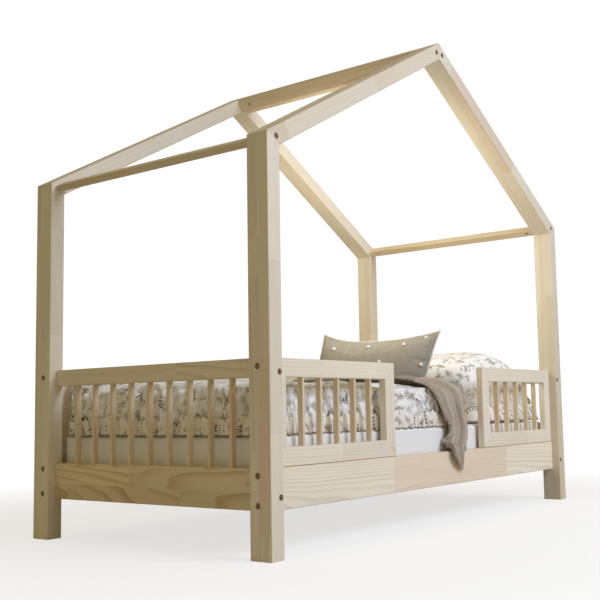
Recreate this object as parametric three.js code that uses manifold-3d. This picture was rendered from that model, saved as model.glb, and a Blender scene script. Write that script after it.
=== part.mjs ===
// Toddler house bed in solid pine, with its bedding. Millimetres, +Z up.
// The origin is on the floor under the middle of the bed. +X runs along the bed to the head end,
// and the open long side, where a child climbs in, faces -Y.
import * as THREE from "three";
import { mergeVertices } from "three/addons/utils/BufferGeometryUtils.js";
import Module from "manifold-3d";

const wasm = await Module();
wasm.setup();

// Whole bed
const LENGTH = 1500; // outside, along X
const WIDTH = 800; // outside, along Y
const POST_X = 42; // post section
const POST_Y = 60;
const POST_TOP = 914; // top of a post at its outer edge, where the roof starts
const PITCH = THREE.MathUtils.degToRad(29.5); // roof slope
const RAFTER = 42; // rafter, square to the slope; its thickness along Y is POST_Y
const EDGE = 2.6; // rounding of the long edges
const JOINT = 0.2; // hairline gap left at each butt or mitre

// Roof beams, drawn in the slope's own frame
const EAVES_ALONG = 30; // section along the slope
const EAVES_THICK = 18; // section square to the slope
const EAVES_IN = 31; // centre of the eaves beam and its bolt, from the bed's end
const RIDGE_FOOT = 14; // underside width of a ridge beam, along the slope
const RIDGE_BOLT_IN = 15; // ridge bolt from the middle of the bed

// End panels and side boards
const END_SET = 22; // end panel behind the post's outer face
const END_THICK = 20;
const SIDE_SET = 25; // side board behind the post's outer face
const SIDE_THICK = 24;
const BOARD_LOW = 100; // underside of the four boards
const BOARD_HIGH = 190; // top edge of the four boards
const RAIL = 42; // width of guard rails and stiles
const GUARD_TOP = 426; // top of guards and end rails
const GUARD_THICK = 20;
const GUARD_LENGTH = 472; // one front guard
const GUARD_LOW = BOARD_HIGH + 0.6;

// Slats of the guards and ends
const SLAT_THIN = 8; // along the panel
const SLAT_DEEP = 15; // through the panel
const SLAT_PITCH = 66;
const TENON = 10; // length of a slat inside a rail
const SLAT_EDGE = 1.6;

// Bed base and bedding
const LEDGE = 22; // ledge width and depth
const BASE_TOP = 159.5; // top of the bed slats
const BASE_THICK = 15;
const BASE_SLATS = 14;
const MATTRESS = [1396, 696, 100];

// Furniture bolts: a counterbored head outside, a barrel nut in the piece that is pulled up
const HEAD_BORE = 14;
const HEAD_DEEP = 5;
const BOLT_BORE = 6.6;
const NUT_BORE = 10;
const NUT_IN = 40; // barrel nut from the end of its board
const SIDE_BOLTS = [114, 176]; // heights of the bolts along X into a side board
const GUARD_BOLT = 407; // height of the bolt along X into a guard
const END_BOLTS = [130, 394]; // heights of the bolts along Y into an end panel

const HALF_X = LENGTH / 2;
const HALF_Y = WIDTH / 2;
const INNER_X = HALF_X - POST_X; // inner faces of the posts
const INNER_Y = HALF_Y - POST_Y;
const SIDE_Y = HALF_Y - SIDE_SET - SIDE_THICK / 2; // middle of a side board
const GUARD_Y = HALF_Y - SIDE_SET - GUARD_THICK / 2; // middle of a guard
const END_X = HALF_X - END_SET - END_THICK / 2; // middle of an end panel

const bed = new THREE.Group();

// ---------------------------------------------------------------- helpers

// A closed three.js geometry as a manifold solid.
function toSolid(geometry) {
  const plain = geometry.clone();
  plain.deleteAttribute("normal");
  plain.deleteAttribute("uv");
  const merged = mergeVertices(plain, 1e-4);
  return new wasm.Manifold(
    new wasm.Mesh({
      numProp: 3,
      vertProperties: merged.attributes.position.array,
      triVerts: new Uint32Array(merged.index.array),
    }),
  );
}

// A manifold solid as a flat-shaded three.js geometry.
function toGeometry(solid) {
  const mesh = solid.getMesh();
  const points = new Float32Array(mesh.numVert * 3);
  for (let i = 0; i < mesh.numVert; i++) {
    const start = i * mesh.numProp;
    points.set(mesh.vertProperties.subarray(start, start + 3), i * 3);
  }
  const indexed = new THREE.BufferGeometry();
  indexed.setAttribute("position", new THREE.BufferAttribute(points, 3));
  indexed.setIndex(new THREE.BufferAttribute(new Uint32Array(mesh.triVerts), 1));
  const flat = indexed.toNonIndexed();
  flat.computeVertexNormals();
  return flat;
}

function cut(geometry, tools) {
  return tools.reduce((solid, tool) => solid.subtract(toSolid(tool)), toSolid(geometry));
}

// The frame that turns an extrusion's own z into the wanted axis.
const AXES = {
  x: new THREE.Matrix4().set(0, 0, 1, 0, 1, 0, 0, 0, 0, 1, 0, 0, 0, 0, 0, 1),
  y: new THREE.Matrix4().set(0, 1, 0, 0, 0, 0, 1, 0, 1, 0, 0, 0, 0, 0, 0, 1),
  z: new THREE.Matrix4(),
};

function roundedRect(width, height, radius) {
  const w = width / 2;
  const h = height / 2;
  const shape = new THREE.Shape();
  shape.absarc(w - radius, h - radius, radius, 0, Math.PI / 2);
  shape.absarc(-w + radius, h - radius, radius, Math.PI / 2, Math.PI);
  shape.absarc(-w + radius, -h + radius, radius, Math.PI, Math.PI * 1.5);
  shape.absarc(w - radius, -h + radius, radius, Math.PI * 1.5, Math.PI * 2);
  return shape;
}

// A bar centred on its own middle, with rounded long edges. size is [x, y, z].
function bar(axis, size, radius = EDGE, segments = 2) {
  const [x, y, z] = size;
  const section = { x: [y, z], y: [z, x], z: [x, y] }[axis];
  const length = { x, y, z }[axis];
  const shape = roundedRect(section[0], section[1], radius);
  const geometry = new THREE.ExtrudeGeometry(shape, {
    depth: length,
    bevelEnabled: false,
    curveSegments: segments,
  });
  return geometry.translate(0, 0, -length / 2).applyMatrix4(AXES[axis]);
}

function box(size, at) {
  return new THREE.BoxGeometry(...size).translate(...at);
}

// A drill along an axis between two places on it; at gives the other two coordinates.
function drill(axis, from, to, at, diameter, sides = 12) {
  const hole = new THREE.CylinderGeometry(diameter / 2, diameter / 2, Math.abs(to - from), sides);
  hole.rotateX(Math.PI / 2).applyMatrix4(AXES[axis]);
  const middle = (from + to) / 2;
  const place = { x: [middle, at[0], at[1]], y: [at[0], middle, at[1]], z: [at[0], at[1], middle] };
  return hole.translate(...place[axis]);
}

// The head's counterbore and the bolt's clearance hole, from an outer face inwards.
function boltDrills(axis, face, inner, at) {
  const side = Math.sign(inner - face);
  return [
    drill(axis, face - side, face + side * HEAD_DEEP, at, HEAD_BORE, 16),
    drill(axis, face, inner + side, at, BOLT_BORE, 8),
  ];
}

// Everything on the far side of a plane, as a big block.
function beyond(point, normal) {
  const block = new THREE.BoxGeometry(800, 800, 800).translate(0, 0, 400);
  const turn = new THREE.Quaternion().setFromUnitVectors(
    new THREE.Vector3(0, 0, 1),
    new THREE.Vector3(...normal).normalize(),
  );
  return block.applyQuaternion(turn).translate(...point);
}

function add(parent, name, shape, at, colour, roughness = 0.62) {
  const geometry = shape.isBufferGeometry ? shape : toGeometry(shape);
  const material = new THREE.MeshStandardMaterial({ color: colour, roughness, metalness: 0 });
  const mesh = new THREE.Mesh(geometry, material);
  mesh.name = name;
  mesh.position.set(...at);
  parent.add(mesh);
  return mesh;
}

const PINE = 0xe6d6b4;
const PINE_DARK = 0xd9c49a;

// ---------------------------------------------------------------- corner posts

// Each post is drilled along X for the long side and along Y for the end panel, and its top is
// mitred to the rafter's foot.
const MITRE = (Math.PI / 2 - PITCH) / 2;
for (const [end, sx] of [["foot", -1], ["head", 1]]) {
  for (const [side, sy] of [["front", -1], ["back", 1]]) {
    const length = POST_TOP + 20;
    const blank = bar("z", [POST_X, POST_Y, length], EDGE, 3).translate(0, 0, length / 2);
    const outerX = (sx * POST_X) / 2;
    const outerY = (sy * POST_Y) / 2;
    const boardY = sy * (SIDE_Y - HALF_Y + POST_Y / 2);
    const guardY = sy * (GUARD_Y - HALF_Y + POST_Y / 2);
    const endX = sx * (END_X - HALF_X + POST_X / 2);
    const tools = [
      beyond([outerX, 0, POST_TOP - JOINT / 2], [-sx * Math.sin(MITRE), 0, Math.cos(MITRE)]),
      ...SIDE_BOLTS.flatMap((z) => boltDrills("x", outerX, -outerX, [boardY, z])),
      ...boltDrills("x", outerX, -outerX, [guardY, GUARD_BOLT]),
      ...END_BOLTS.flatMap((z) => boltDrills("y", outerY, -outerY, [endX, z])),
    ];
    const at = [sx * (HALF_X - POST_X / 2), sy * (HALF_Y - POST_Y / 2), 0];
    add(bed, `post_${end}_${side}`, cut(blank, tools), at, PINE);
  }
}

// ---------------------------------------------------------------- roof

// One slope: two rafters, an eaves beam and a ridge beam, in a frame whose x climbs the slope and
// whose z leaves it. The origin is the outer edge of the post tops. The head slope is the same
// frame turned half round.
const SLOPE = HALF_X / Math.cos(PITCH); // length of the upper face
const EAVES_S = (EAVES_IN - (RAFTER / 2) * Math.sin(PITCH)) / Math.cos(PITCH);
const RIDGE_S = (HALF_X - RIDGE_BOLT_IN - (RAFTER / 2) * Math.sin(PITCH)) / Math.cos(PITCH);
const RIDGE_TOE = SLOPE - RAFTER * Math.tan(PITCH); // where the lower face meets the middle
const PLUMB = [Math.cos(PITCH), 0, -Math.sin(PITCH)]; // the bed's X in the slope's frame

for (const [end, turn] of [["foot", 0], ["head", Math.PI]]) {
  const half = new THREE.Group();
  half.rotation.z = turn;
  const slope = new THREE.Group();
  slope.position.set(-HALF_X, 0, POST_TOP);
  slope.rotation.y = -PITCH;
  half.add(slope);
  bed.add(half);

  for (const local of [-1, 1]) {
    const side = local * (turn ? -1 : 1) < 0 ? "front" : "back";
    const outer = (local * POST_Y) / 2;
    const blank = bar("x", [SLOPE + 40, POST_Y, RAFTER], EDGE, 3);
    blank.translate(SLOPE / 2, 0, -RAFTER / 2);
    const tools = [
      beyond([0, 0, JOINT / 2], [-Math.cos(MITRE), 0, -Math.sin(MITRE)]),
      beyond([SLOPE - JOINT, 0, 0], PLUMB),
      ...boltDrills("y", outer, -outer, [EAVES_S, -RAFTER / 2]),
      ...boltDrills("y", outer, -outer, [RIDGE_S, -RAFTER / 2]),
    ];
    const at = [0, local * (HALF_Y - POST_Y / 2), 0];
    add(slope, `rafter_${end}_${side}`, cut(blank, tools), at, PINE);
  }

  const span = 2 * (INNER_Y - JOINT);
  const nutY = span / 2 - NUT_IN;
  const eaves = bar("y", [EAVES_ALONG, span, EAVES_THICK], 2);
  const eavesTools = [-1, 1].flatMap((s) => [
    drill("y", s * (nutY - 10), s * (span / 2 + 1), [0, 0], BOLT_BORE, 8),
    drill("z", -EAVES_THICK / 2 - 1, 7.4, [0, s * (nutY + 12)], NUT_BORE),
  ]);
  add(slope, `eaves_beam_${end}`, cut(eaves, eavesTools), [EAVES_S, 0, -RAFTER / 2], PINE);

  const ridgeStart = RIDGE_TOE - RIDGE_FOOT;
  const ridge = bar("y", [80, span, RAFTER]).translate(ridgeStart + 40, 0, -RAFTER / 2);
  const ridgeTools = [
    beyond([SLOPE - JOINT, 0, 0], PLUMB),
    ...[-1, 1].flatMap((s) => [
      drill("y", s * (nutY - 10), s * (span / 2 + 1), [RIDGE_S, -RAFTER / 2], BOLT_BORE, 8),
      drill("x", ridgeStart - 1, RIDGE_S + 8, [s * nutY, -RAFTER / 2], NUT_BORE),
    ]),
  ];
  add(slope, `ridge_beam_${end}`, cut(ridge, ridgeTools), [0, 0, 0], PINE);
}

// ---------------------------------------------------------------- slats

// One loose slat, standing on its own middle. thin and deep are its X and Y sizes.
function slat(thin, deep, height) {
  return bar("z", [thin, deep, height], SLAT_EDGE, 1);
}

// A row of places, centred on zero.
function row(count, pitch) {
  return Array.from({ length: count }, (_, i) => (i - (count - 1) / 2) * pitch);
}

// A row of slats glued between two fillet strips, which fill the grooves of the rails. It runs
// along X, with a slat at each place and the strips between two ends.
function slatComb(places, [start, end], opening) {
  const height = opening + 2 * (TENON - 0.4);
  const strip = TENON - 0.6;
  const lift = (opening + strip) / 2 + 0.1;
  const pieces = places.map((x) =>
    toSolid(slat(SLAT_THIN, SLAT_DEEP, height - 0.4).translate(x, 0, 0)),
  );
  for (const z of [-lift, lift]) {
    pieces.push(toSolid(box([end - start, SLAT_DEEP - 0.8, strip], [(start + end) / 2, 0, z])));
  }
  return pieces.reduce((all, piece) => all.add(piece));
}

// ---------------------------------------------------------------- end panels

// The foot end: a wide board, a top rail and nine slats let into both. The head end is the same,
// its slats held by fillet strips in grooves.
const END_SPAN = 2 * (INNER_Y - JOINT);
const END_LOW = GUARD_TOP - RAIL;
const END_COUNT = 9;
const slatMiddle = (BOARD_HIGH + END_LOW) / 2;
const slatHeight = END_LOW - BOARD_HIGH + 2 * (TENON - 0.5);

function endPocket(y, z) {
  return box([SLAT_DEEP + 0.3, SLAT_THIN + 0.3, 2 * TENON], [0, y, z]);
}

function endDrills(z, inward) {
  const end = END_SPAN / 2;
  return [-1, 1].flatMap((s) => [
    drill("y", s * (end - NUT_IN - 10), s * (end + 1), [0, z], BOLT_BORE, 8),
    drill("x", (inward * END_THICK) / 2 + inward, -inward * 6, [s * (end - NUT_IN), z], NUT_BORE),
  ]);
}

for (const [end, sx] of [["foot", -1], ["head", 1]]) {
  const panel = new THREE.Group();
  panel.position.x = sx * END_X;
  bed.add(panel);
  const grooved = end === "head";
  const places = row(END_COUNT, SLAT_PITCH);
  const groove = (z) => [box([SLAT_DEEP, END_SPAN - 20, 2 * TENON], [0, 0, z])];
  const pockets = (z) => (grooved ? groove(z) : places.map((y) => endPocket(y, z)));

  const boardMiddle = (BOARD_LOW + BOARD_HIGH) / 2;
  const boardHeight = BOARD_HIGH - BOARD_LOW;
  const board = cut(bar("y", [END_THICK, END_SPAN, boardHeight]), [
    ...pockets(boardHeight / 2),
    ...endDrills(END_BOLTS[0] - boardMiddle, -sx),
  ]);
  add(panel, `${end}_board`, board, [0, 0, boardMiddle], PINE);

  const railMiddle = GUARD_TOP - RAIL / 2;
  const rail = cut(bar("y", [END_THICK, END_SPAN, RAIL]), [
    ...pockets(-RAIL / 2),
    ...endDrills(END_BOLTS[1] - railMiddle, -sx),
  ]);
  add(panel, `${end}_top_rail`, rail, [0, 0, railMiddle], PINE);

  if (grooved) {
    const reach = (END_SPAN - 21) / 2;
    const comb = slatComb(places, [-reach, reach], END_LOW - BOARD_HIGH);
    add(panel, "head_slats", comb, [0, 0, slatMiddle], PINE_DARK).rotation.z = Math.PI / 2;
  } else {
    places.forEach((y, i) => {
      const at = [0, y, slatMiddle];
      add(panel, `foot_slat_${i + 1}`, slat(SLAT_DEEP, SLAT_THIN, slatHeight), at, PINE_DARK);
    });
  }
}

// ---------------------------------------------------------------- side boards and ledges

for (const [side, sy] of [["front", -1], ["back", 1]]) {
  const span = 2 * (INNER_X - JOINT);
  const middle = (BOARD_LOW + BOARD_HIGH) / 2;
  const blank = bar("x", [span, SIDE_THICK, BOARD_HIGH - BOARD_LOW]);
  const inner = (-sy * SIDE_THICK) / 2;
  const tools = [-1, 1].flatMap((s) =>
    SIDE_BOLTS.flatMap((z) => [
      drill("x", s * (span / 2 - NUT_IN - 10), s * (span / 2 + 1), [0, z - middle], BOLT_BORE, 8),
      drill("y", inner - sy, sy * 6, [s * (span / 2 - NUT_IN), z - middle], NUT_BORE),
    ]),
  );
  add(bed, `${side}_board`, cut(blank, tools), [0, sy * SIDE_Y, middle], PINE);

  const ledge = bar("x", [span - 90, LEDGE, LEDGE], 1.5, 1);
  const ledgeY = sy * (SIDE_Y - SIDE_THICK / 2 - LEDGE / 2 - JOINT);
  const ledgeZ = BASE_TOP - BASE_THICK - LEDGE / 2 - JOINT;
  add(bed, `${side}_ledge`, ledge, [0, ledgeY, ledgeZ], PINE_DARK);
}

// ---------------------------------------------------------------- guards

// A guard is a frame with mitred corners round its slats. Its own frame is centred on the guard,
// x along the bed and z up.
const GUARD_HEIGHT = GUARD_TOP - GUARD_LOW;
const GUARD_MIDDLE = GUARD_LOW + GUARD_HEIGHT / 2;
const GUARD_OPENING = GUARD_HEIGHT - 2 * RAIL;

// The block that trims one corner of a frame along its mitre, keeping the rail or the stile.
function mitreBlock(length, sx, sz, keepRail) {
  const corner = [(sx * length) / 2, 0, (sz * GUARD_HEIGHT) / 2];
  const way = keepRail ? 1 : -1;
  const normal = [sx * way, 0, -sz * way];
  const nudge = JOINT / 2 / Math.SQRT2;
  const point = [corner[0] - normal[0] * nudge, 0, corner[2] - normal[2] * nudge];
  return beyond(point, normal);
}

function guardRail(length, sz) {
  const geometry = bar("x", [length, GUARD_THICK, RAIL]);
  geometry.translate(0, 0, sz * (GUARD_HEIGHT - RAIL) * 0.5);
  return { geometry, tools: [-1, 1].map((sx) => mitreBlock(length, sx, sz, true)) };
}

function guardStile(length, sx) {
  const geometry = bar("z", [RAIL, GUARD_THICK, GUARD_HEIGHT]);
  geometry.translate(sx * (length - RAIL) * 0.5, 0, 0);
  return { geometry, tools: [-1, 1].map((sz) => mitreBlock(length, sx, sz, false)) };
}

function guard(name, length, count, at, posts, inward, grooved) {
  const group = new THREE.Group();
  group.position.set(...at);
  bed.add(group);
  const places = row(count, SLAT_PITCH);
  const inner = GUARD_OPENING / 2;
  const grooveLength = length - 2 * RAIL - 12;
  const boltZ = GUARD_BOLT - GUARD_MIDDLE;
  const nutX = length / 2 - NUT_IN - 12;
  const boltTools = posts.flatMap((s) => [
    drill("x", s * (nutX - 8), s * (length / 2 + 1), [0, boltZ], BOLT_BORE, 8),
    drill("y", (inward * GUARD_THICK) / 2 + inward, -inward * 6, [s * nutX, boltZ], NUT_BORE),
  ]);
  for (const [which, sz] of [["top", 1], ["bottom", -1]]) {
    const { geometry, tools } = guardRail(length, sz);
    const z = sz * inner;
    const lets = grooved
      ? [box([grooveLength, SLAT_DEEP, 2 * TENON], [0, 0, z])]
      : places.map((x) => box([SLAT_THIN + 0.3, SLAT_DEEP + 0.3, 2 * TENON], [x, 0, z]));
    const bolts = sz > 0 ? boltTools : [];
    add(group, `${name}_${which}_rail`, cut(geometry, [...tools, ...lets, ...bolts]), [0, 0, 0], PINE);
  }
  for (const [which, sx] of [["foot", -1], ["head", 1]]) {
    const { geometry, tools } = guardStile(length, sx);
    const bolts = posts.includes(sx) ? boltTools : [];
    add(group, `${name}_${which}_stile`, cut(geometry, [...tools, ...bolts]), [0, 0, 0], PINE);
  }
  if (grooved) {
    // Two combs end to end, parted just past the middle slat.
    const reach = (grooveLength - 1) / 2;
    const half = Math.ceil(count / 2);
    const part = (places[half - 1] + places[half]) / 2;
    const footComb = slatComb(places.slice(0, half), [-reach, part - JOINT / 2], GUARD_OPENING);
    const headComb = slatComb(places.slice(half), [part + JOINT / 2, reach], GUARD_OPENING);
    add(group, `${name}_slats_foot`, footComb, [0, 0, 0], PINE_DARK);
    add(group, `${name}_slats_head`, headComb, [0, 0, 0], PINE_DARK);
    return;
  }
  places.forEach((x, i) => {
    const piece = slat(SLAT_THIN, SLAT_DEEP, GUARD_OPENING + 2 * (TENON - 0.5));
    add(group, `${name}_slat_${i + 1}`, piece, [x, 0, 0], PINE_DARK);
  });
}

const frontX = INNER_X - JOINT - GUARD_LENGTH / 2;
guard("guard_a", GUARD_LENGTH, 5, [-frontX, -GUARD_Y, GUARD_MIDDLE], [-1], 1, false);
guard("guard_b", GUARD_LENGTH, 5, [frontX, -GUARD_Y, GUARD_MIDDLE], [1], 1, false);
const backLength = 2 * (INNER_X - JOINT);
guard("back_guard", backLength, 19, [0, GUARD_Y, GUARD_MIDDLE], [-1, 1], -1, true);

// ---------------------------------------------------------------- bed base

// Loose slats on the ledges, stapled to two webbing straps and lifted out as one piece.
const baseWidth = 2 * (SIDE_Y - SIDE_THICK / 2) - 4;
const basePitch = 1300 / (BASE_SLATS - 1);
const basePieces = row(BASE_SLATS, basePitch).map((x) =>
  toSolid(bar("y", [68, baseWidth, BASE_THICK], 2, 1).translate(x, 0, 0)),
);
for (const y of [-180, 180]) {
  const strap = box([1300, 30, 2], [0, y, -BASE_THICK / 2 - 0.4]);
  basePieces.push(toSolid(strap));
}
const base = basePieces.reduce((all, piece) => all.add(piece));
add(bed, "slatted_base", base, [0, 0, BASE_TOP - BASE_THICK / 2], PINE_DARK);

// ---------------------------------------------------------------- bedding

// A stuffed rectangular pad: full height in the middle, thinner to its seam all round.
// crown 1 is a lens, larger numbers are fuller. flat is how far the underside follows the top.
function pad(width, depth, height, seam, crown, flat, nx = 12, ny = 8) {
  const swell = (t) => (1 - Math.abs(t) ** crown) ** (1 / crown);
  const top = [];
  const bottom = [];
  for (let j = 0; j <= ny; j++) {
    for (let i = 0; i <= nx; i++) {
      const u = Math.sin(((i / nx) * 2 - 1) * (Math.PI / 2));
      const v = Math.sin(((j / ny) * 2 - 1) * (Math.PI / 2));
      const rise = swell(u) * swell(v);
      const x = (u * width) / 2;
      const y = (v * depth) / 2;
      top.push([x, y, seam + (height - seam) * rise]);
      bottom.push([x, y, seam - seam * rise ** flat]);
    }
  }
  const points = [...top, ...bottom].flat();
  const count = (nx + 1) * (ny + 1);
  const index = [];
  for (let j = 0; j < ny; j++) {
    for (let i = 0; i < nx; i++) {
      const a = j * (nx + 1) + i;
      const b = a + 1;
      const c = a + nx + 1;
      const d = c + 1;
      index.push(a, b, d, a, d, c);
      index.push(count + a, count + d, count + b, count + a, count + c, count + d);
    }
  }
  const geometry = new THREE.BufferGeometry();
  geometry.setAttribute("position", new THREE.Float32BufferAttribute(points, 3));
  geometry.setIndex(index);
  return mergeVertices(geometry, 1e-3);
}

const LINEN = 0xa9a294;
const COTTON = 0xf2f0ea;
const THROW = 0xc9b49a;

const mattressTop = BASE_TOP + 0.5 + MATTRESS[2];
const mattress = new THREE.ExtrudeGeometry(
  roundedRect(MATTRESS[0] - 12, MATTRESS[1] - 12, 24),
  {
    depth: MATTRESS[2] - 12,
    bevelEnabled: true,
    bevelThickness: 6,
    bevelSize: 6,
    bevelSegments: 2,
    curveSegments: 4,
  },
);
add(bed, "mattress", toSolid(mattress), [0, 0, mattressTop - MATTRESS[2] + 6], COTTON, 0.9);

const duvet = pad(798, 676, 112, 34, 5, 0.35, 14, 12);
add(bed, "duvet", duvet, [-300, 0, mattressTop + 0.5], COTTON, 0.9);

const pillow = pad(392, 660, 222, 40, 2.6, 0.4);
add(bed, "pillow", pillow, [500, 0, mattressTop + 0.5], COTTON, 0.9);

const cushion = pad(444, 300, 92, 46, 2.4, 1);
const seat = new THREE.Group();
seat.position.set(183, 0, mattressTop + 137);
seat.rotation.set(0, THREE.MathUtils.degToRad(-64), 0);
bed.add(seat);
add(seat, "cushion", cushion, [0, 0, -46], LINEN, 0.95).rotation.z = Math.PI / 2;

// A bunched throw: a thick ribbon over the duvet, down past the mattress and over the front board.
// Each station is the middle of the ribbon and its width.
const THROW_THICK = 9;
const throwPath = [
  [48, 130, 392, 150],
  [48, 40, 392, 156],
  [48, -80, 392, 158],
  [50, -190, 390, 160],
  [72, -236, 386, 200],
  [86, -275, 380, 214],
  [90, -312, 367, 190],
  [88, -337, 346, 164],
  [90, -347, 315, 142],
  [100, -351, 284, 118],
  [103, -355, 254, 116],
  [88, -360, 226, 94],
  [68, -367, 203, 78],
  [62, -379, 198, 72],
  [66, -382, 178, 56],
  [80, -382, 146, 14],
];
const throwPoints = [];
throwPath.forEach(([x, y, z, width], i) => {
  const next = throwPath[Math.min(i + 1, throwPath.length - 1)];
  const last = throwPath[Math.max(i - 1, 0)];
  const along = new THREE.Vector3(0, next[1] - last[1], next[2] - last[2]).normalize();
  for (const [across, up] of [[-1, -1], [1, -1], [1, 1], [-1, 1]]) {
    const lift = (up * THROW_THICK) / 2;
    throwPoints.push(x + (across * width) / 2, y + along.z * lift, z - along.y * lift);
  }
});
const throwIndex = [0, 2, 1, 0, 3, 2];
for (let i = 0; i + 1 < throwPath.length; i++) {
  for (let k = 0; k < 4; k++) {
    const a = i * 4 + k;
    const b = i * 4 + ((k + 1) % 4);
    throwIndex.push(a, b, a + 4, b, b + 4, a + 4);
  }
}
const lastRing = (throwPath.length - 1) * 4;
throwIndex.push(lastRing, lastRing + 1, lastRing + 2, lastRing, lastRing + 2, lastRing + 3);
const ribbon = new THREE.BufferGeometry();
ribbon.setAttribute("position", new THREE.Float32BufferAttribute(throwPoints, 3));
ribbon.setIndex(throwIndex);
add(bed, "throw", ribbon, [0, 0, 0], THROW, 0.95);

export default bed;
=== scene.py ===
import math

import bmesh
import bpy
from mathutils import Matrix, Vector, noise
from mathutils.bvhtree import BVHTree


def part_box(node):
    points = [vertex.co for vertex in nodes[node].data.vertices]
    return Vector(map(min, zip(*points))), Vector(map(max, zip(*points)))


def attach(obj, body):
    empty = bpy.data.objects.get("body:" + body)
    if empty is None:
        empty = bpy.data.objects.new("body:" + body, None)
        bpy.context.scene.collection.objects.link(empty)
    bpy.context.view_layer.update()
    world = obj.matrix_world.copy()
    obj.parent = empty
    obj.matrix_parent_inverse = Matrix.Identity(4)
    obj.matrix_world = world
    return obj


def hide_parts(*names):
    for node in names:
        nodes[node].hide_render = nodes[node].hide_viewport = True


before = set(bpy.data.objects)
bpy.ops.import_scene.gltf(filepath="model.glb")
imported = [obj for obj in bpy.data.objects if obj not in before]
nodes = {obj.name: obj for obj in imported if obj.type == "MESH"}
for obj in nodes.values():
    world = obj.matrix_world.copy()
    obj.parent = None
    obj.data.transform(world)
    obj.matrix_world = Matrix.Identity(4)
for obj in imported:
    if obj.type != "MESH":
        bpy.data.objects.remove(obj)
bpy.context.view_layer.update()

scene = bpy.context.scene
scene.view_settings.view_transform = "Standard"
scene.view_settings.look = "None"

# ------------------------------------------------------------------ camera
# It stands low off the foot end's open corner, at about the height of the mattress, and looks
# slightly up, with the house frame's ridge near the top of the picture.

eye = bpy.data.cameras.new("eye")
eye.sensor_width = 36
eye.lens = 56.909
eye.shift_x = -0.07897
eye.shift_y = 0.02065
camera = bpy.data.objects.new("camera", eye)
camera.location = (-2.26412, -1.70224, 0.31379)
camera.rotation_euler = [math.radians(turn) for turn in (95.7706, 1.1572, -53.9306)]
scene.collection.objects.link(camera)
scene.camera = camera

# ------------------------------------------------------------------ corner posts
# Four 42 x 60 mm posts of pine, glued up from two strips, each finger-jointed from short blocks
# that differ in tone. The edges are rounded, sanded and matt-lacquered.


def put(tree, kind, inputs=(), **settings):
    """Adds a node, and gives each input a value or another node's socket."""
    made = tree.nodes.new(kind)
    for name, value in settings.items():
        setattr(made, name, value)
    for key, value in dict(inputs).items():
        if isinstance(value, bpy.types.NodeSocket):
            tree.links.new(value, made.inputs[key])
        else:
            made.inputs[key].default_value = value
    return made


def calc(tree, operation, *values):
    """One step of arithmetic on numbers or sockets."""
    return put(tree, "ShaderNodeMath", enumerate(values), operation=operation).outputs[0]


def arrow_calc(tree, operation, *values):
    """One step of arithmetic on vectors."""
    return put(tree, "ShaderNodeVectorMath", enumerate(values), operation=operation).outputs[0]


def span(tree, *arrows):
    """The length of a vector, or the distance between two."""
    operation = "DISTANCE" if len(arrows) == 2 else "LENGTH"
    return put(tree, "ShaderNodeVectorMath", enumerate(arrows), operation=operation).outputs["Value"]


def mottle(tree, place, detail):
    """Soft noise with spots about one unit wide."""
    return put(tree, "ShaderNodeTexNoise", {"Vector": place, "Scale": 1.0, "Detail": detail}).outputs[0]


def stretched(tree, axes, *scales):
    """A place whose three axes are each multiplied by a scale."""
    return triple(tree, *(calc(tree, "MULTIPLY", axis, scale) for axis, scale in zip(axes, scales)))


def fade(tree, value, low, high, start=0.0, end=1.0):
    """Goes smoothly from start to end as value goes from low to high."""
    inputs = {0: value, 1: low, 2: high, 3: start, 4: end}
    return put(tree, "ShaderNodeMapRange", inputs, interpolation_type="SMOOTHSTEP").outputs[0]


def blended(tree, share, first, second, how="MIX"):
    """Mixes two colours."""
    inputs = {0: share, 6: first, 7: second}
    return put(tree, "ShaderNodeMix", inputs, data_type="RGBA", blend_type=how).outputs[2]


def triple(tree, x, y, z):
    """Joins three numbers into a vector."""
    return put(tree, "ShaderNodeCombineXYZ", {0: x, 1: y, 2: z}).outputs[0]


def new_group(name, inputs, outputs):
    """Starts a node group with named inputs and outputs."""
    tree = bpy.data.node_groups.new(name, "ShaderNodeTree")
    for label, kind, value in inputs:
        socket = tree.interface.new_socket(label, in_out="INPUT", socket_type=kind)
        if value is not None:
            socket.default_value = value
    for label, kind in outputs:
        tree.interface.new_socket(label, in_out="OUTPUT", socket_type=kind)
    return tree, tree.nodes.new("NodeGroupInput").outputs, tree.nodes.new("NodeGroupOutput").inputs


NUMBER = "NodeSocketFloat"
COLOUR = "NodeSocketColor"
ARROW = "NodeSocketVector"

pine_grain, given, result = new_group(
    "pine_grain",
    [
        ("Place", ARROW, None),
        ("Facing", ARROW, None),
        ("Strip Width", NUMBER, 0.06),
        ("Strip Depth", NUMBER, 0.06),
        ("Block", NUMBER, 0.42),
        ("Ring", NUMBER, 0.005),
        ("Grain", NUMBER, 0.5),
        ("Tint", COLOUR, (1, 1, 1, 1)),
    ],
    [("Color", COLOUR), ("Roughness", NUMBER), ("Height", NUMBER)],
)
g = pine_grain
axes = put(g, "ShaderNodeSeparateXYZ", {0: given["Place"]}).outputs
along, wide, deep = axes
strip_w = calc(g, "FLOOR", calc(g, "DIVIDE", wide, given["Strip Width"]))
strip_d = calc(g, "FLOOR", calc(g, "DIVIDE", deep, given["Strip Depth"]))
strip_seed = put(g, "ShaderNodeTexWhiteNoise", {"Vector": triple(g, strip_w, strip_d, 3.7)})
fingers = calc(g, "MULTIPLY", calc(g, "PINGPONG", wide, 0.0021), 4.0)
blocks_in = calc(g, "DIVIDE", calc(g, "ADD", along, fingers), given["Block"])
blocks_in = calc(g, "MULTIPLY_ADD", strip_seed.outputs["Value"], 5.0, blocks_in)
block = calc(g, "FLOOR", blocks_in)
seed = put(g, "ShaderNodeTexWhiteNoise", {"Vector": triple(g, strip_w, strip_d, block)})
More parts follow.
